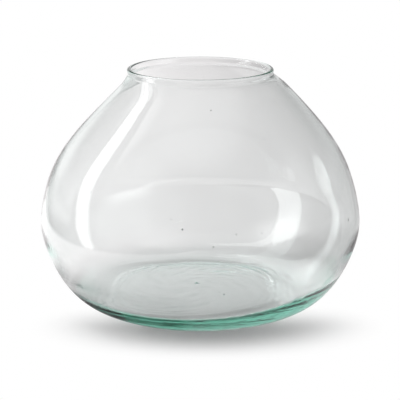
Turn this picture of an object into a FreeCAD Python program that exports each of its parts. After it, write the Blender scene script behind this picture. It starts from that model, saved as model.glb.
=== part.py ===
import FreeCAD, Part
import os
from math import cos, radians, sin

# Rose bowl vase of blown glass, turned about the Z axis and standing on Z = 0
# Lengths are in millimetres and angles in degrees

# Outside of the bowl
belly_diameter = 230.0      # widest ring
belly_height = 60.5         # of the widest ring above the table
total_height = 170.0
foot_diameter = 130.0       # outer edge of the flat ring that the vase rests on
neck_diameter = 103.2       # where the shoulder starts to turn up into the lip
neck_drop = 4.8             # from the top of the lip down to the neck
shoulder_slope = 45.0       # of the shoulder at the neck, from level

# Mouth
mouth_diameter = 97.6       # clear way through the lip
lip_thickness = 2.9         # of the rounded edge

# Thickness of the glass
floor_thickness = 7.2       # above the foot ring
floor_diameter = 120.0      # of the flat part of the floor inside
belly_wall = 3.0
neck_wall = 2.4

# Hollow pressed up into the underside, inside the foot ring
punt_diameter = 125.0
punt_depth = 0.9

# Zones of the glass
base_height = 14.0          # the thick base ends here
lip_height = 3.0            # from the top of the lip down to the seam with the wall
overrun = 1.0               # of the strips that part the zones, past the glass

# Pull of each curve between its ends: share of the way across, share of the way up
heel_shares = ((0.585, 0.0), (0.75, 0.35), (1.0, 0.69))
inner_heel_shares = ((0.83, 0.0), (0.675, 0.315), (1.0, 0.63))
shoulder_shares = ((0.0, 0.17), (0.17, 0.46))
punt_shares = ((0.5, 0.0), (0.85, 0.3))
# Share of the height of a curve over which it keeps the slope of its end
shoulder_end_share = 0.5
collar_end_share = 0.35

belly_radius = belly_diameter / 2
foot_radius = foot_diameter / 2
neck_height = total_height - neck_drop
lip_radius = lip_thickness / 2
lip_centre_radius = mouth_diameter / 2 + lip_radius
lip_centre_height = total_height - lip_radius

axis_foot = FreeCAD.Vector(0, 0, 0)
level_out = FreeCAD.Vector(1, 0, 0)
to_the_front = FreeCAD.Vector(0, -1, 0)
straight_up = FreeCAD.Vector(0, 0, 1)
up_the_shoulder = FreeCAD.Vector(-cos(radians(shoulder_slope)), 0, sin(radians(shoulder_slope)))
into_the_glass = FreeCAD.Vector(-sin(radians(shoulder_slope)), 0, -cos(radians(shoulder_slope)))


def at(radius, height):
    return FreeCAD.Vector(radius, 0, height)


def pulled(first, last, shares):
    """Pulling points between first and last, by their shares of the way across and up."""
    return [at(first.x + (last.x - first.x) * across, first.z + (last.z - first.z) * up)
            for across, up in shares]


def back_from(end, direction, rise):
    """The point that lies the given height below the end, back along its direction."""
    return end - direction * (rise / direction.z)


def curve(points):
    bent = Part.BezierCurve()
    bent.setPoles(points)
    return bent.toShape()


def straight(start, end):
    return Part.LineSegment(start, end).toShape()


def side_of_the_bowl(pull, foot, belly, neck, lip):
    """Heel, shoulder and collar as one smooth run of curves, from the foot up to the lip."""
    heel = [foot] + pulled(foot, belly, pull) + [belly]
    held = back_from(neck, up_the_shoulder, shoulder_end_share * (neck.z - belly.z))
    shoulder = [belly] + pulled(belly, neck, shoulder_shares) + [held, neck]
    reach = collar_end_share * (lip.z - neck.z)
    collar = [neck, neck + up_the_shoulder * reach, lip - straight_up * reach, lip]
    return [curve(heel), curve(shoulder), curve(collar)]


def glass_section():
    """Half of the section through the vase, on the side of +X."""
    outer_foot = at(foot_radius, 0)
    outer_lip = at(lip_centre_radius + lip_radius, lip_centre_height)
    inner_lip = at(lip_centre_radius - lip_radius, lip_centre_height)
    outer_neck = at(neck_diameter / 2, neck_height)
    inner_neck = outer_neck + into_the_glass * neck_wall
    outer_belly = at(belly_radius, belly_height)
    outside = side_of_the_bowl(heel_shares, outer_foot, outer_belly, outer_neck, outer_lip)

    floor_edge = at(floor_diameter / 2, floor_thickness)
    inner_belly = at(belly_radius - belly_wall, belly_height)
    inside = side_of_the_bowl(inner_heel_shares, floor_edge, inner_belly, inner_neck, inner_lip)

    crown = Part.Arc(outer_lip, at(lip_centre_radius, total_height), inner_lip).toShape()
    punt_top = at(0, punt_depth)
    punt_edge = at(punt_diameter / 2, 0)
    punt = curve([punt_top] + pulled(punt_top, punt_edge, punt_shares) + [punt_edge])
    foot_ring = straight(punt_edge, outer_foot)
    floor_middle = at(0, floor_thickness)
    floor = straight(floor_edge, floor_middle)
    middle = straight(floor_middle, punt_top)

    edges = [middle, punt, foot_ring] + outside + [crown] + inside + [floor]
    return Part.Face(Part.Wire(Part.__sortEdges__(edges)))


def zone(section, low, high):
    """The glass between two levels, turned all the way round."""
    strip = Part.makePlane(belly_radius + overrun, high - low, at(0, low), to_the_front, level_out)
    zone_section = section.common(strip).Faces[0]
    return zone_section.revolve(axis_foot, straight_up, 360)


def save(node, solid):
    solid.exportStep("parts/" + node + ".step")
    print(node, solid.ShapeType, "valid", solid.isValid(), "volume", round(solid.Volume))


os.makedirs("parts", exist_ok=True)
section = glass_section()
wall_foot = base_height
wall_top = total_height - lip_height
save("base", zone(section, -overrun, wall_foot))
save("bowl_wall", zone(section, wall_foot, wall_top))
save("lip_bead", zone(section, wall_top, total_height + overrun))
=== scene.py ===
from math import cos, pi, radians, sin

import bmesh
import bpy
from mathutils import Matrix, Vector, noise


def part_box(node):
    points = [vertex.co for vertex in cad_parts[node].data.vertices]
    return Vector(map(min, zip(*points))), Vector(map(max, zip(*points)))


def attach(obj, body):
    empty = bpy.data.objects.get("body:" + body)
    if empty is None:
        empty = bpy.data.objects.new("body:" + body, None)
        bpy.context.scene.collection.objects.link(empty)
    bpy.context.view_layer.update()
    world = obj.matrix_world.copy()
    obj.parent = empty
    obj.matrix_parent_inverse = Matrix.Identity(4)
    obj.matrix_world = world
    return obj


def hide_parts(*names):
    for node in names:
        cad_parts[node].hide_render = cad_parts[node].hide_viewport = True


# A rose bowl vase of clear, faintly green blown glass, on a white studio floor
# Metres throughout, in the frame's own axes: +Z up, the vase stands on Z = 0

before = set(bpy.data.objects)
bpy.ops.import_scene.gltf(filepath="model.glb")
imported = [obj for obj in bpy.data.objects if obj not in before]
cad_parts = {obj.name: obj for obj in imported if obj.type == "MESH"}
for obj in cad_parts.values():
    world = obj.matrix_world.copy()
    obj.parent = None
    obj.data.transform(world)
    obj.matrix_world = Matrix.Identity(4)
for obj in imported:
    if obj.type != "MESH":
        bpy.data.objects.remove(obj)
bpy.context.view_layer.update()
scene = bpy.context.scene
print("frame loaded:", sorted(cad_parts))


# 0 up to low, 1 from high on, and eased between them; low may be the larger of the two
def smoothStep(low, high, value):
    t = min(max((value - low) / (high - low), 0.0), 1.0)
    return t * t * (3.0 - 2.0 * t)


def newObject(name, mesh):
    made = bpy.data.objects.new(name, mesh)
    scene.collection.objects.link(made)
    return made


def newMaterial(name):
    material = bpy.data.materials.new(name)
    material.use_nodes = True
    material.node_tree.nodes.clear()
    return material, material.node_tree.nodes, material.node_tree.links


# The glass: one lathed wall from the underside up over the lip and back down to the floor of the bowl

bowlLow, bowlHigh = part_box("bowl_wall")
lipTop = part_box("lip_bead")[1].z

vaseGlass = {
    "bellyRadius": (bowlHigh.x - bowlLow.x) / 2,
    "bellyHeight": 0.0605,
    "height": lipTop,
    "footRadius": 0.065,
    "puntRadius": 0.0625,
    "puntDepth": 0.0009,
    "neckRadius": 0.0516,
    "neckDrop": 0.0048,
    "shoulderSlope": radians(45.0),
    "mouthRadius": 0.0488,
    "lipRadius": 0.00145,
    "floorThickness": 0.0072,
    "floorRadius": 0.060,     # of the flat part of the floor inside
    "floorMiddle": -0.004,    # which lies a little to the left
    "floorShift": (0.030, 0.0072),      # the wall is true from the first of these heights up
    "bellyWall": 0.0030,
    "neckWall": 0.0024,

    # pull of each curve between its ends: share of the way across, share of the way up
    "heelPull": ((0.585, 0.0), (0.75, 0.35), (1.0, 0.69)),
    "innerHeelPull": ((0.83, 0.0), (0.675, 0.315), (1.0, 0.63)),
    "shoulderPull": ((0.0, 0.17), (0.17, 0.46)),
    "puntPull": ((0.5, 0.0), (0.85, 0.3)),
    "shoulderHold": 0.5,      # share of its height over which the shoulder keeps the slope of its end
    "collarHold": 0.35,

    "spare": 0.0001,          # the waves of the glass keep this far inside the widest ring
    "heelSteps": 96,
    "shoulderSteps": 64,
    "collarSteps": 10,
    "crownSteps": 6,
    "puntSteps": 24,
    "floorSteps": 40,
    "turns": 384,             # columns of faces round the vase

    "leanMost": 0.0026,       # the blown shoulder leans this far to +X
    "leanFrom": 0.085,        # from this height
    "leanTo": 0.158,          # to this one
    "leanLets": 0.167,        # and the lip is true again from here
    "wave": 0.00004,          # slow waves of the blown wall
    "waveSize": 0.045,
    "cord": 0.000018,         # finer cords that wind round in it
    "cordLength": 0.070,
    "cordHeight": 0.0045,
    "streak": 0.00006,        # streaks that run up the heel
    "streakWidth": 0.0028,
    "streakFrom": 0.040,      # from this height down
    "streakTo": 0.018,
    "calmFoot": (0.004, 0.020),         # the outside is true under the first of these heights
    "calmLip": 0.012,         # and the waves fade toward the lip over this height

    "swirl": 0.00020,         # where the glass of the floor was twisted
    "swirlSize": 0.009,
    "swirlTurn": 40.0,        # radians for each metre from the axis
    "swirlShare": 0.8,        # whole on this share of the floor's radius
    "thread": 0.00015,        # thread-like waves round the edge of the floor
    "threadPitch": 0.0050,
    "threadFrom": (0.048, 0.058),       # they grow between these distances from the axis
    "threadTo": (0.078, 0.068),         # and are gone at the first of these
    "swell": 0.0003,          # the wall is fuller by this right under the lip
    "swellDrop": 0.0040,
    "swellReach": 0.0022,

    # small bubbles: degrees round from +X, height, radius, how much longer than wide
    "bubbles": ((-86, 0.1517, 0.00045, 1.0), (-96, 0.0830, 0.00055, 1.2), (-100, 0.0889, 0.00035, 1.0),
                (-26, 0.0724, 0.00065, 1.8), (-78, 0.0794, 0.00035, 2.0), (83, 0.0100, 0.00070, 1.0),
                (-69, 0.0787, 0.00035, 1.0), (61, 0.0980, 0.00040, 1.0), (140, 0.0600, 0.00050, 1.5)),
    # and those in the floor: along X, along Y, height, radius
    "floorBubbles": ((0.0183, 0.0452, 0.0042, 0.00080), (-0.0224, 0.0378, 0.0040, 0.00060),
                     (0.0172, -0.0157, 0.0038, 0.00080), (0.0140, -0.0130, 0.0045, 0.00045)),
    "bubbleSteps": 10,
}


# Points along a curve pulled by its poles
def bezierRun(poles, steps):
    run = []
    for step in range(steps + 1):
        share = step / steps
        left = list(poles)
        while len(left) > 1:
            left = [near.lerp(far, share) for near, far in zip(left, left[1:])]
        run.append(left[0])
    return run


def pulled(first, last, shares):
    return [first + Vector(((last.x - first.x) * across, (last.y - first.y) * up))
            for across, up in shares]


# Heel, shoulder and collar in the half section (radius, height), from the foot up to the lip
def bowlSide(g, heelPull, foot, belly, neck, lip):
    slope = Vector((-cos(g["shoulderSlope"]), sin(g["shoulderSlope"])))
    held = neck - slope * (g["shoulderHold"] * (neck.y - belly.y) / slope.y)
    reach = g["collarHold"] * (lip.y - neck.y)
    heelPoles = [foot] + pulled(foot, belly, heelPull) + [belly]
    shoulderPoles = [belly] + pulled(belly, neck, g["shoulderPull"]) + [held, neck]
    collarPoles = [neck, neck + slope * reach, lip - Vector((0, reach)), lip]
    heel = bezierRun(heelPoles, g["heelSteps"])
    shoulder = bezierRun(shoulderPoles, g["shoulderSteps"])
    collar = bezierRun(collarPoles, g["collarSteps"])
    return heel + shoulder[1:] + collar[1:]


# The outside from the middle of the underside up to the crown of the lip, and the inside back down to
# the middle of the floor
def glassSection(g):
    belly = Vector((g["bellyRadius"] - g["spare"], g["bellyHeight"]))
    neck = Vector((g["neckRadius"], g["height"] - g["neckDrop"]))
    lipMiddle = Vector((g["mouthRadius"] + g["lipRadius"], g["height"] - g["lipRadius"]))
    lipOut = Vector((g["lipRadius"], 0.0))
    foot = Vector((g["footRadius"], 0.0))
    outside = bowlSide(g, g["heelPull"], foot, belly, neck, lipMiddle + lipOut)

    puntEdge = Vector((g["puntRadius"], 0.0))
    puntTop = Vector((0.0, g["puntDepth"]))
    punt = bezierRun([puntTop] + pulled(puntTop, puntEdge, g["puntPull"]) + [puntEdge], g["puntSteps"])

    half = g["crownSteps"]
    crown = [lipMiddle + g["lipRadius"] * Vector((cos(pi * step / 2 / half), sin(pi * step / 2 / half)))
             for step in range(1, 2 * half)]

    inward = Vector((-sin(g["shoulderSlope"]), -cos(g["shoulderSlope"])))
    innerBelly = belly - Vector((g["bellyWall"], 0.0))
    innerNeck = neck + inward * g["neckWall"]
    floorEdge = Vector((g["floorRadius"], g["floorThickness"]))
    inside = bowlSide(g, g["innerHeelPull"], floorEdge, innerBelly, innerNeck, lipMiddle - lipOut)
    floorRun = [Vector((g["floorRadius"] * (1 - step / g["floorSteps"]), g["floorThickness"]))
                for step in range(1, g["floorSteps"] + 1)]
    return punt + outside + crown[:half], crown[half:] + inside[::-1] + floorRun


# How far the blown wall has moved to +X at a height
def lean(g, height):
    out = smoothStep(g["leanFrom"], g["leanTo"], height)
    back = smoothStep(g["leanTo"], g["leanLets"], height)
    return g["leanMost"] * out * (1.0 - back)


# How far the surface of the wall stands out or in at a place: slow waves, cords that wind round and
# streaks that run up the heel
def ripple(g, radius, turn, height, layer):
    belly, size, long = g["bellyRadius"], g["waveSize"], g["cordLength"]
    high, wide = g["cordHeight"], g["streakWidth"]
    x, y, z = radius * cos(turn), radius * sin(turn), height + layer * belly
    slow = noise.noise(Vector((x / size, y / size, z / size)))
    cords = noise.noise(Vector((x / long, y / long, z / high)))
    streaks = noise.noise(Vector((belly * cos(turn) / wide, belly * sin(turn) / wide, z / long)))
    lowDown = smoothStep(g["streakFrom"], g["streakTo"], height)
    return g["wave"] * slow + g["cord"] * cords + g["streak"] * lowDown * streaks


# The fuller glass right under the lip
def swell(g, height):
    off = (height - g["height"] + g["swellDrop"]) / g["swellReach"]
    return g["swell"] * max(0.0, 1.0 - off * off) ** 2


# The twisted floor inside: waves along a spiral, and threads round its edge
def swirl(g, radius, turn):
    turned = turn + g["swirlTurn"] * radius
    wave = noise.noise(Vector((radius * cos(turned), radius * sin(turned), 0.0)) / g["swirlSize"])
    onFloor = smoothStep(g["floorRadius"], g["floorRadius"] * g["swirlShare"], radius)
    threads = sin(2 * pi * radius / g["threadPitch"] - turn)
    onEdge = smoothStep(*g["threadFrom"], radius) * smoothStep(*g["threadTo"], radius)
    return g["swirl"] * wave * onFloor + g["thread"] * threads * onEdge


# Points round the axis for one point of the section, outside (layer 0) or inside (layer 1); the waves of
# the outside only go into the glass
def roundRing(g, mesh, point, outward, layer):
    calm = smoothStep(g["height"], g["height"] - g["calmLip"], point.y)
    if layer == 0:
        calm *= smoothStep(*g["calmFoot"], point.y)
    ring = []
    for column in range(g["turns"]):
        turn = 2 * pi * column / g["turns"]
        move = ripple(g, point.x, turn, point.y, layer) * calm
        aside = lean(g, point.y)
        if layer == 0:
            move = swell(g, point.y) - abs(move)
        elif point.y < g["floorShift"][0]:
            move = move * smoothStep(*g["threadFrom"], point.x) + swirl(g, point.x, turn)
            aside = g["floorMiddle"] * smoothStep(*g["floorShift"], point.y)
        radius, height = point.x + outward.x * move, point.y + outward.y * move
        ring.append(mesh.verts.new((radius * cos(turn) + aside, radius * sin(turn), height)))
    return ring


# The faces between two rings, where a ring of one point is an end on the axis
def addFaces(mesh, low, high, turns):
    for column in range(turns):
        after = (column + 1) % turns
        if len(low) == 1:
            mesh.faces.new((low[0], high[after], high[column]))
        elif len(high) == 1:
            mesh.faces.new((low[column], low[after], high[0]))
        else:
            mesh.faces.new((low[column], low[after], high[after], high[column]))


# How far from the axis the middle of the wall lies at a height above the heel
def wallMiddle(g, outer, inner, height):
    found = []
    for run in (outer, inner):
        wall = [point for point in run if point.x > g["mouthRadius"]]
        found.append(min(wall, key=lambda point: abs(point.y - height)).x)
    return sum(found) / len(found)


def addBubble(g, mesh, middle, radius, longer):
    steps = g["bubbleSteps"]
    shape = Matrix.Translation(middle) @ Matrix.Diagonal((radius, radius, radius * longer, 1.0))
    bmesh.ops.create_uvsphere(mesh, u_segments=2 * steps, v_segments=steps, radius=1.0, matrix=shape)


# A bubble is a small void in the glass, so its faces look into it
def buildBubbles(g, outer, inner):
    mesh = bmesh.new()
    for degrees, height, radius, longer in g["bubbles"]:
        away = wallMiddle(g, outer, inner, height)
        turn = radians(degrees)
        middle = Vector((away * cos(turn) + lean(g, height), away * sin(turn), height))
        addBubble(g, mesh, middle, radius, longer)
    for x, y, height, radius in g["floorBubbles"]:
        addBubble(g, mesh, Vector((x, y, height)), radius, 1.0)
    bmesh.ops.recalc_face_normals(mesh, faces=mesh.faces[:])
    bmesh.ops.reverse_faces(mesh, faces=mesh.faces[:])
    data = bpy.data.meshes.new("bubbles")
    mesh.to_mesh(data)
    mesh.free()
    return data


def buildVaseGlass(g):
    outer, inner = glassSection(g)
    mesh = bmesh.new()
    rings = []
    for layer, run in enumerate((outer, inner)):
        for index, point in enumerate(run):
            if point.x < g["spare"]:    # on the axis
                rings.append([mesh.verts.new((0.0, 0.0, point.y))])
                continue
            along = run[min(index + 1, len(run) - 1)] - run[max(index - 1, 0)]
            outward = Vector((along.y, -along.x)).normalized()
            rings.append(roundRing(g, mesh, point, outward, layer))
    for low, high in zip(rings, rings[1:]):
        addFaces(mesh, low, high, g["turns"])
    bmesh.ops.recalc_face_normals(mesh, faces=mesh.faces[:])
    bubbles = buildBubbles(g, outer, inner)
    mesh.from_mesh(bubbles)
    bpy.data.meshes.remove(bubbles)
    data = bpy.data.meshes.new("vase_glass")
    mesh.to_mesh(data)
    mesh.free()
    data.shade_smooth()
    return newObject("vase_glass", data)


glassFinish = {
    "ior": 1.5,
    "takes": (0.40, 0.90, 0.78, 1.0),   # the green that is left of white light deep in the glass
    "depth": 11.0,            # how fast it deepens with the way through the glass
}


def clearGreenGlass(f):
    material, nodes, links = newMaterial("clear_green_glass")
    out = nodes.new("ShaderNodeOutputMaterial")
    glass = nodes.new("ShaderNodeBsdfPrincipled")
    glass.inputs["Base Color"].default_value = (1.0, 1.0, 1.0, 1.0)
    glass.inputs["Roughness"].default_value = 0.0
    glass.inputs["IOR"].default_value = f["ior"]
    glass.inputs["Transmission Weight"].default_value = 1.0
    links.new(glass.outputs["BSDF"], out.inputs["Surface"])
    depth = nodes.new("ShaderNodeVolumeAbsorption")
    depth.inputs["Color"].default_value = f["takes"]
    depth.inputs["Density"].default_value = f["depth"]
    links.new(depth.outputs["Volume"], out.inputs["Volume"])
    return material


vase = buildVaseGlass(vaseGlass)
vase.data.materials.append(clearGreenGlass(glassFinish))
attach(vase, "root")
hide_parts("base", "bowl_wall", "lip_bead")
print("vase glass:", len(vase.data.vertices), "points")


# Short ways to add the shader nodes of the studio, where a value is a number or another node's output

def mathNode(nodes, links, operation, *values):
    node = nodes.new("ShaderNodeMath")
    node.operation = operation
    for index, value in enumerate(values):
        if isinstance(value, (int, float)):
            node.inputs[index].default_value = value
        else:
            links.new(value, node.inputs[index])
    return node.outputs[0]


def productNode(nodes, links, first, *others):
    for other in others:
        first = mathNode(nodes, links, "MULTIPLY", first, other)
    return first


def distanceNode(nodes, links, place, middle):
    node = nodes.new("ShaderNodeVectorMath")
    node.operation = "DISTANCE"
    links.new(place, node.inputs[0])
    node.inputs[1].default_value = middle
    return node.outputs["Value"]


# A distance in which the way along X and along Y counts so many times
def ovalNode(nodes, links, place, middle, squash):
    times = Vector((squash[0], squash[1], 1.0))
    node = nodes.new("ShaderNodeVectorMath")
    node.operation = "MULTIPLY"
    links.new(place, node.inputs[0])
    node.inputs[1].default_value = times
    return distanceNode(nodes, links, node.outputs["Vector"], Vector(middle) * times)


# A smooth ramp from 0 at low to 1 at high; low may be the larger of the two
def stepNode(nodes, links, value, low, high):
    node = nodes.new("ShaderNodeMapRange")
    node.interpolation_type = "SMOOTHSTEP"
    node.inputs["From Min"].default_value = low
    node.inputs["From Max"].default_value = high
    links.new(value, node.inputs["Value"])
    return node.outputs["Result"]


# Levels along a value, eased between the places given
def rampNode(nodes, links, value, levels):
    node = nodes.new("ShaderNodeFloatCurve")
    points = node.mapping.curves[0].points
    while len(points) < len(levels):
        points.new(0.5, 0.5)
    longest = levels[-1][0]
    highest = max(level for where, level in levels)
    for point, (where, level) in zip(points, levels):
        point.location = (where / longest, level / highest)
        point.handle_type = "AUTO_CLAMPED"
    node.mapping.extend = "HORIZONTAL"
    node.mapping.update()
    links.new(mathNode(nodes, links, "DIVIDE", value, longest), node.inputs["Value"])
    return productNode(nodes, links, node.outputs["Value"], highest)


# A level that goes from first to second as share goes from 0 to 1
def blendNode(nodes, links, share, first, second):
    node = nodes.new("ShaderNodeMix")
    links.new(share, node.inputs["Factor"])
    for name, value in (("A", first), ("B", second)):
        if isinstance(value, float):
            node.inputs[name].default_value = value
        else:
            links.new(value, node.inputs[name])
    return node.outputs["Result"]


def emissionNode(nodes, links, strength, tint=(1.0, 1.0, 1.0, 1.0)):
    node = nodes.new("ShaderNodeEmission")
    node.inputs["Color"].default_value = tint
    if isinstance(strength, (int, float)):
        node.inputs["Strength"].default_value = strength
    else:
        links.new(strength, node.inputs["Strength"])
    return node.outputs[0]


def mixNode(nodes, links, share, first, second):
    node = nodes.new("ShaderNodeMixShader")
    links.new(share, node.inputs["Fac"])
    links.new(first, node.inputs[1])
    links.new(second, node.inputs[2])
    return node.outputs[0]


def addNode(nodes, links, first, second):
    node = nodes.new("ShaderNodeAddShader")
    links.new(first, node.inputs[0])
    links.new(second, node.inputs[1])
    return node.outputs[0]


def paperNode(nodes, white):
    node = nodes.new("ShaderNodeBsdfDiffuse")
    node.inputs["Color"].default_value = (white, white, white, 1.0)
    return node.outputs[0]


# The floor: a wide white sheet. The camera meets it as plain white with a painted shadow in front of the
# vase; seen in the glass or through it, it is a table whose light is painted on as a glow, brighter on the
# left, and it ends on the left

floorSheet = {
    "size": 12.0,
    "below": 0.0001,          # under the foot
    "white": 0.5,             # of the paper, where the camera sees it bare
    "grey": 0.12,             # of the paper as the glass shows it
    "tint": (1.0, 0.965, 0.974, 1.0),   # of its light there

    # the shadow is painted: an oval mask in front of the vase, inside which the paper's own lit shading
    # shows
    "shadowMiddle": (0.006, -0.060, 0.0),
    "shadowSquash": (1.0, 1.83),        # so many times wider across than it is deep
    "coreRadius": 0.022,      # it is whole inside this distance across
    "shadowRadius": 0.127,    # and gone outside this one
    "coreGlow": 0.03,         # painted light that its middle keeps
    "backFrom": -0.070,       # it fades toward the back from here
    "backTo": -0.014,         # to here

    "leftGlow": 0.945,        # painted light of the left side of the table
    "rightGlow": 0.445,       # and of the right side
    "leftEnd": -0.20,         # between these two places
    "rightEnd": 0.25,
    "tableEnd": -0.34,        # the table ends here on the left
    "tableBlur": 0.02,
    "farGlow": 0.60,          # beyond that end it glows with painted light: dark beside the vase, and light further back
    "farFrom": 0.10,
    "farTo": 0.50,
    "frontFrom": -0.12,       # and light toward the camera too, in what passes straight through the glass
    "frontTo": -0.35,
    "straightDepth": 0.5,     # mirrored less often than this, light has gone straight through

    # painted shade on the table's light by the distance from this place: darkest along the foot ring
    "shadeMiddle": (-0.006, 0.001, 0.0),
    "shadeSquash": (0.93, 1.03),
    "shades": ((0.0, 0.74), (0.046, 0.72), (0.0525, 0.66), (0.055, 0.84), (0.0575, 0.54), (0.066, 0.44),
               (0.076, 0.72), (0.093, 0.92), (0.115, 1.0)),
    "sideLift": 0.6,          # that shade is this much weaker on the left and the right
    "sideFrom": 0.025,
    "sideTo": 0.085,
    "frontShade": 0.62,       # painted shade round the foot, darker at the front than at the back
    "backShade": 1.08,
    "frontEnd": -0.065,
    "backEnd": 0.040,
    "footFrom": 0.066,        # which fades out between these distances
    "footTo": 0.115,
    "shadowPatchPlace": (0.145, 0.080, 0.0),    # a painted shadow behind the vase on the right
    "shadowPatchShades": ((0.0, 0.62), (0.050, 0.68), (0.110, 1.0)),

    # painted shade on the left and painted light on the right, on the table's light that passes along inside
    # the wall, by the way from the left to the right
    "rimShadeAndLight": ((0.0, 0.45), (0.040, 0.25), (0.100, 0.25), (0.120, 0.70), (0.190, 0.65), (0.212, 1.2),
                  (0.24, 1.5)),
    "rimReach": 0.12,         # which starts this far left of the axis
    "rimFoot": 0.068,         # it comes from a ring beside the foot, that grows from here
    "rimNear": 0.076,         # to here
    "rimEdge": 0.112,         # and fades from here
    "rimFar": 0.135,          # to here
    "rimDepth": 2.5,          # it has passed through fewer surfaces than this

    "poolPlace": (0.088, 0.025, 0.0),   # a painted pool of light on the right, as if the glass gathered light there
    "poolSquash": (2.0, 1.0),
    "poolGlow": ((0.0, 0.28), (0.012, 0.25), (0.038, 0.0)),
}


# What the camera sees: white all round, with a painted shadow in front of the vase over the paper's own lit
# shading
def bareFloor(f, nodes, links, place, apart):
    fromShadow = ovalNode(nodes, links, place, f["shadowMiddle"], f["shadowSquash"])
    inside = stepNode(nodes, links, fromShadow, f["shadowRadius"], f["coreRadius"])
    before = stepNode(nodes, links, apart["Y"], f["backTo"], f["backFrom"])
    clear = mathNode(nodes, links, "SUBTRACT", 1.0, productNode(nodes, links, inside, before))
    lit = addNode(nodes, links, paperNode(nodes, f["white"]), emissionNode(nodes, links, f["coreGlow"]))
    return mixNode(nodes, links, clear, lit, emissionNode(nodes, links, 1.0))


# The painted shade along the foot ring
def ringShade(f, nodes, links, apart, away):
    across = mathNode(nodes, links, "ABSOLUTE", apart["X"])
    aside = stepNode(nodes, links, across, f["sideFrom"], f["sideTo"])
    lifted = productNode(nodes, links, aside, f["sideLift"])
    return blendNode(nodes, links, lifted, rampNode(nodes, links, away, f["shades"]), 1.0)


# The painted, deeper shade in front of the foot
def frontShade(f, nodes, links, apart, away):
    toBack = stepNode(nodes, links, apart["Y"], f["frontEnd"], f["backEnd"])
    shade = blendNode(nodes, links, toBack, f["frontShade"], f["backShade"])
    offFoot = stepNode(nodes, links, away, f["footFrom"], f["footTo"])
    return blendNode(nodes, links, offFoot, shade, 1.0)


# Painted shade on the left and painted light on the right, on the light from beside the foot that passes
# along inside the wall
def paintedRimLevel(f, nodes, links, apart, path, away):
    fromLeft = mathNode(nodes, links, "ADD", apart["X"], f["rimReach"])
    rim = rampNode(nodes, links, fromLeft, f["rimShadeAndLight"])
    pastFoot = stepNode(nodes, links, away, f["rimFoot"], f["rimNear"])
    nearBy = stepNode(nodes, links, away, f["rimFar"], f["rimEdge"])
    shallow = mathNode(nodes, links, "LESS_THAN", path["Transmission Depth"], f["rimDepth"])
    onRim = productNode(nodes, links, pastFoot, nearBy, shallow)
    return blendNode(nodes, links, onRim, 1.0, rim)


# The painted light that the table sends into the glass, with painted shade round the foot, a painted shadow,
# the painted rim levels and a painted pool of light
def tableGlow(f, nodes, links, place, apart, path):
    across = nodes.new("ShaderNodeMapRange")
    across.inputs["From Min"].default_value = f["leftEnd"]
    across.inputs["From Max"].default_value = f["rightEnd"]
    across.inputs["To Min"].default_value = f["leftGlow"]
    across.inputs["To Max"].default_value = f["rightGlow"]
    links.new(apart["X"], across.inputs["Value"])
    away = ovalNode(nodes, links, place, f["shadeMiddle"], f["shadeSquash"])
    ring = ringShade(f, nodes, links, apart, away)
    front = frontShade(f, nodes, links, apart, away)
    # a painted shadow behind the vase on the right
    fromShadowPatch = distanceNode(nodes, links, place, f["shadowPatchPlace"])
    shadowPatch = rampNode(nodes, links, fromShadowPatch, f["shadowPatchShades"])
    rim = paintedRimLevel(f, nodes, links, apart, path, away)
    fromPool = ovalNode(nodes, links, place, f["poolPlace"], f["poolSquash"])
    pool = rampNode(nodes, links, fromPool, f["poolGlow"])
    lit = productNode(nodes, links, across.outputs["Result"], ring, front, shadowPatch, rim)
    return mathNode(nodes, links, "ADD", lit, pool)


# The painted light past the table's left end
def beyondTable(f, nodes, links, apart, path):
    farOut = stepNode(nodes, links, apart["Y"], f["farFrom"], f["farTo"])
    toFront = stepNode(nodes, links, apart["Y"], f["frontFrom"], f["frontTo"])
    straight = mathNode(nodes, links, "LESS_THAN", path["Glossy Depth"], f["straightDepth"])
    light = mathNode(nodes, links, "MAXIMUM", farOut, productNode(nodes, links, straight, toFront))
    return emissionNode(nodes, links, productNode(nodes, links, light, f["farGlow"]))


def floorPaper(f):
    material, nodes, links = newMaterial("white_floor")
    out = nodes.new("ShaderNodeOutputMaterial")
    place = nodes.new("ShaderNodeTexCoord").outputs["Object"]
    separate = nodes.new("ShaderNodeSeparateXYZ")
    links.new(place, separate.inputs[0])
    apart = separate.outputs
    path = nodes.new("ShaderNodeLightPath").outputs
    glow = tableGlow(f, nodes, links, place, apart, path)
    table = addNode(nodes, links, paperNode(nodes, f["grey"]), emissionNode(nodes, links, glow, f["tint"]))
    onTable = stepNode(nodes, links, apart["X"], f["tableEnd"] - f["tableBlur"], f["tableEnd"])
    shown = mixNode(nodes, links, onTable, beyondTable(f, nodes, links, apart, path), table)
    bare = bareFloor(f, nodes, links, place, apart)
    links.new(mixNode(nodes, links, path["Is Camera Ray"], shown, bare), out.inputs["Surface"])
    return material


def buildFloor(f):
    half = f["size"] / 2
    corners = [(-half, -half, 0), (half, -half, 0), (half, half, 0), (-half, half, 0)]
    data = bpy.data.meshes.new("floor")
    data.from_pydata(corners, [], [(0, 1, 2, 3)])
    data.materials.append(floorPaper(f))
    floor = newObject("floor", data)
    floor.location.z = -f["below"]


buildFloor(floorSheet)
print("floor laid")

# The studio walls, which only show in the glass: the camera sees white behind the vase

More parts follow.
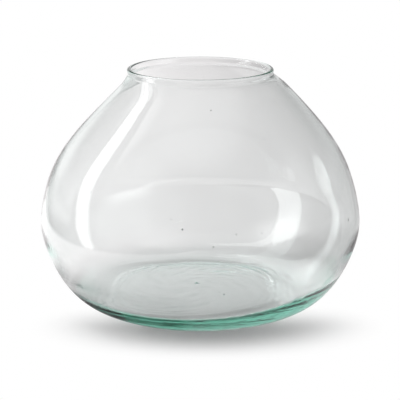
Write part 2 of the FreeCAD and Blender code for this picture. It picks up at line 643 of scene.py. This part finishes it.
studio = {
    # light of the walls round from the left (0) by the camera (0.25) and the right (0.5) to the back (0.75)
    "low": ((0.0, 0.5), (0.083, 0.05), (0.167, 0.6), (0.25, 0.05), (0.333, 0.1), (0.417, 2.4), (0.5, 0.3),
            (0.583, 0.4), (0.667, 0.38), (0.75, 0.5), (0.833, 0.5), (0.917, 0.3), (1.0, 0.5)),
    "middle": ((0.0, 0.1), (0.083, 0.1), (0.167, 0.25), (0.25, 0.05), (0.333, 0.05), (0.417, 0.7),
               (0.5, 0.7), (0.583, 0.15), (0.667, 0.3), (0.75, 0.7), (0.833, 0.4), (0.917, 0.1), (1.0, 0.1)),
    "high": ((0.0, 0.35), (0.083, 0.35), (0.167, 0.1), (0.25, 0.05), (0.333, 0.05), (0.417, 0.1),
             (0.5, 0.25), (0.583, 0.1), (0.667, 0.3), (0.75, 0.1), (0.833, 0.15), (0.917, 1.3), (1.0, 0.35)),
    "ceiling": 0.8,
    # how much of the white background itself the glass shows, low down behind the vase
    "backdrop": ((0.0, 0.0), (0.6, 0.0), (0.667, 0.2), (0.75, 0.6), (0.833, 0.9), (0.9, 0.0), (1.0, 0.0)),
    "middleFrom": 0.12,       # sines of the heights between which the low walls turn into the middle ones
    "middleTo": 0.30,
    "highFrom": 0.52,         # those into the high ones
    "highTo": 0.72,
    "ceilingFrom": 0.82,      # and those into the ceiling
    "ceilingTo": 0.96,
}


def buildWorld(s):
    world = bpy.data.worlds.new("studio")
    world.use_nodes = True
    scene.world = world
    nodes, links = world.node_tree.nodes, world.node_tree.links
    nodes.clear()
    out = nodes.new("ShaderNodeOutputWorld")
    place = nodes.new("ShaderNodeTexCoord").outputs["Generated"]
    around = nodes.new("ShaderNodeTexGradient")
    around.gradient_type = "RADIAL"
    links.new(place, around.inputs["Vector"])
    turn = around.outputs["Fac"]
    separate = nodes.new("ShaderNodeSeparateXYZ")
    links.new(place, separate.inputs[0])
    rise = separate.outputs["Z"]
    room = rampNode(nodes, links, turn, s["low"])
    for name in ("middle", "high", "ceiling"):
        higher = s[name] if name == "ceiling" else rampNode(nodes, links, turn, s[name])
        share = stepNode(nodes, links, rise, s[name + "From"], s[name + "To"])
        room = blendNode(nodes, links, share, room, higher)
    path = nodes.new("ShaderNodeLightPath").outputs
    inGlass = mathNode(nodes, links, "MAXIMUM", path["Is Glossy Ray"], path["Is Transmission Ray"])
    lowDown = stepNode(nodes, links, rise, s["middleTo"], s["middleFrom"])
    backdrop = rampNode(nodes, links, turn, s["backdrop"])
    seen = productNode(nodes, links, inGlass, backdrop, lowDown)
    white = mathNode(nodes, links, "MAXIMUM", path["Is Camera Ray"], seen)
    light = nodes.new("ShaderNodeBackground")
    light.inputs["Color"].default_value = (1.0, 1.0, 1.0, 1.0)
    links.new(blendNode(nodes, links, white, room, 1.0), light.inputs["Strength"])
    links.new(light.outputs[0], out.inputs["Surface"])


buildWorld(studio)
print("studio walls up")


# Turns what lies flat so that it faces one way, with its Y along another
def facing(faces, along):
    back = -Vector(faces).normalized()
    up = (Vector(along) - back * back.dot(Vector(along))).normalized()
    return Matrix((up.cross(back), up, back)).transposed().to_euler()


# A wide lamp above, which casts the shadow and isn't mirrored
overhead = {
    "place": (-0.10, 0.0, 1.1),
    "faces": (0.09, 0.0, -1.0),
    "along": (0.0, 1.0, 0.0),
    "size": 0.7,
    "level": 8.0,             # its own brightness, whatever its size
}


def buildOverhead(o):
    data = bpy.data.lights.new("overhead", "AREA")
    data.size = o["size"]
    data.energy = o["level"] * pi * o["size"] ** 2
    data.cycles.use_multiple_importance_sampling = False    # so that nothing mirrors it
    lamp = newObject("overhead", data)
    lamp.location = o["place"]
    lamp.rotation_euler = facing(o["faces"], o["along"])


# A tall softbox on the left, which the glass mirrors: its middle in the near wall, all of it in the far one
softbox = {
    "place": (-0.48, 0.080, 0.53),
    "faces": (1.0, 0.0, 0.0),
    "along": (0.0, 0.37, 0.93),
    "length": 1.14,
    # from its foot up: share of the length, how much nearer it comes to the vase, and the places across of
    # its first edge, the two edges of its middle and its last edge
    "rows": ((-0.5, 0.12, -0.14, -0.030, 0.015, 0.05), (-0.42, 0.05, -0.13, -0.070, 0.015, 0.075),
             (-0.34, 0.0, -0.12, -0.082, 0.014, 0.085), (-0.1, 0.0, -0.12, -0.090, 0.020, 0.10),
             (0.2, 0.0, -0.14, -0.125, 0.002, 0.09), (0.5, 0.0, -0.15, -0.130, 0.000, 0.09),
             (0.7, 0.35, -0.15, -0.130, 0.000, 0.13)),
    "edges": 4,               # places across in each row
    "level": 2.8,
    "twiceLevel": 11.0,       # of what is mirrored more than once, where the real wall is less even
    "twiceFrom": 1.5,
    "mostMirrored": 2.5,      # what is mirrored more often than this is lost
    "nearDepth": 3.0,         # surfaces that light passes on its way by the near wall alone
}


# Its sides (always 0) are lit only for light that comes by the far wall
def softboxFront(s, name, always):
    material, nodes, links = newMaterial(name)
    out = nodes.new("ShaderNodeOutputMaterial")
    path = nodes.new("ShaderNodeLightPath").outputs
    mirrored = path["Glossy Depth"]
    deep = mathNode(nodes, links, "GREATER_THAN", path["Transmission Depth"], s["nearDepth"])
    lit = mathNode(nodes, links, "MAXIMUM", always, deep)
    few = mathNode(nodes, links, "LESS_THAN", mirrored, s["mostMirrored"])
    twice = mathNode(nodes, links, "GREATER_THAN", mirrored, s["twiceFrom"])
    level = mathNode(nodes, links, "MULTIPLY_ADD", twice, s["twiceLevel"] - s["level"], s["level"])
    shown = emissionNode(nodes, links, productNode(nodes, links, lit, few, level))
    links.new(shown, out.inputs["Surface"])
    return material


def buildSoftbox(s):
    edges = s["edges"]
    corners = [(across, share * s["length"], -nearer)
               for share, nearer, *places in s["rows"] for across in places]
    faces = [(at, at + 1, at + edges + 1, at + edges)
             for at in range(len(corners) - edges) if (at + 1) % edges]
    data = bpy.data.meshes.new("softbox")
    data.from_pydata(corners, [], faces)
    data.materials.append(softboxFront(s, "softbox_side", 0.0))
    data.materials.append(softboxFront(s, "softbox_middle", 1.0))
    for face in data.polygons:
        face.material_index = int(face.index % (edges - 1) == 1)
    front = newObject("softbox", data)
    front.location = s["place"]
    front.rotation_euler = facing(s["faces"], s["along"])
    front.visible_camera = False
    front.visible_diffuse = False
    front.visible_shadow = False


buildOverhead(overhead)
buildSoftbox(softbox)
print("lamps hung")

# The camera of the photograph

view = {
    "distance": 0.940,
    "height": 0.3244,
    "side": -0.0002,
    "down": radians(14.95),
    "focal": 1344.7,          # in pixels of the photograph
    "frame": 400.0,           # pixels across it
    "sensor": 36.0,           # in millimetres, as the lens is
    "nearest": 0.01,
}


def buildCamera(v):
    data = bpy.data.cameras.new("camera")
    data.sensor_width = v["sensor"]
    data.lens = v["focal"] / v["frame"] * data.sensor_width
    data.clip_start = v["nearest"]
    camera = newObject("camera", data)
    camera.location = (v["side"], -v["distance"], v["height"])
    camera.rotation_euler = (pi / 2 - v["down"], 0.0, 0.0)
    scene.camera = camera


buildCamera(view)
scene.view_settings.view_transform = "Standard"

# How often light may turn on its way, as clear glass needs
bounces = {"most": 32, "mirrored": 24, "through": 32}
scene.cycles.max_bounces = bounces["most"]
scene.cycles.glossy_bounces = bounces["mirrored"]
scene.cycles.transmission_bounces = bounces["through"]
print("camera set")
